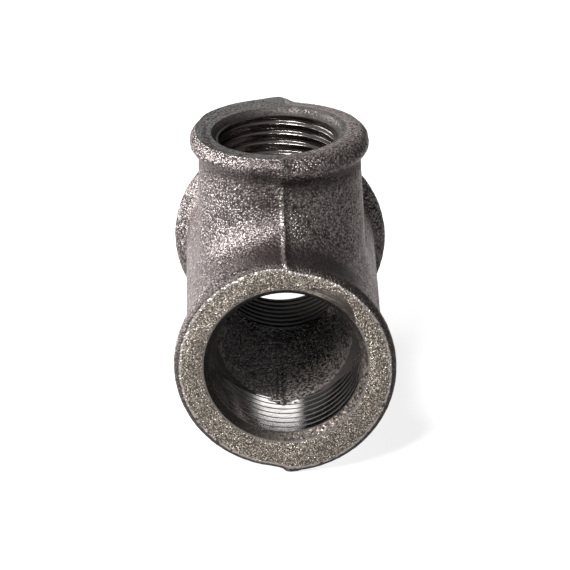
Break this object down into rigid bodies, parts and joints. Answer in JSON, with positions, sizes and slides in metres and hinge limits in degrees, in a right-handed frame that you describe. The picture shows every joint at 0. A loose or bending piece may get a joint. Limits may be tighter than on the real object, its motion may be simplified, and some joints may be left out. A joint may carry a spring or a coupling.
{
  "type": "reducing tee",
  "caption": "Banded malleable iron reducing tee: a straight threaded run with a smaller threaded branch at right angles to it.",
  "frame": {"origin": "the point where the centre lines of the run and the branch cross", "axes": "+Z out of the branch, Y along the run with the front end at -Y, X across"},
  "size_m": [0.0374, 0.06, 0.0501],
  "materials": {
    "black_iron": "as-cast black malleable iron with a sand-cast grain, ground faces and bright cut threads"
  },
  "bodies": {
    "root": {"tee_body": "black_iron"}
  },
  "joints": []
}
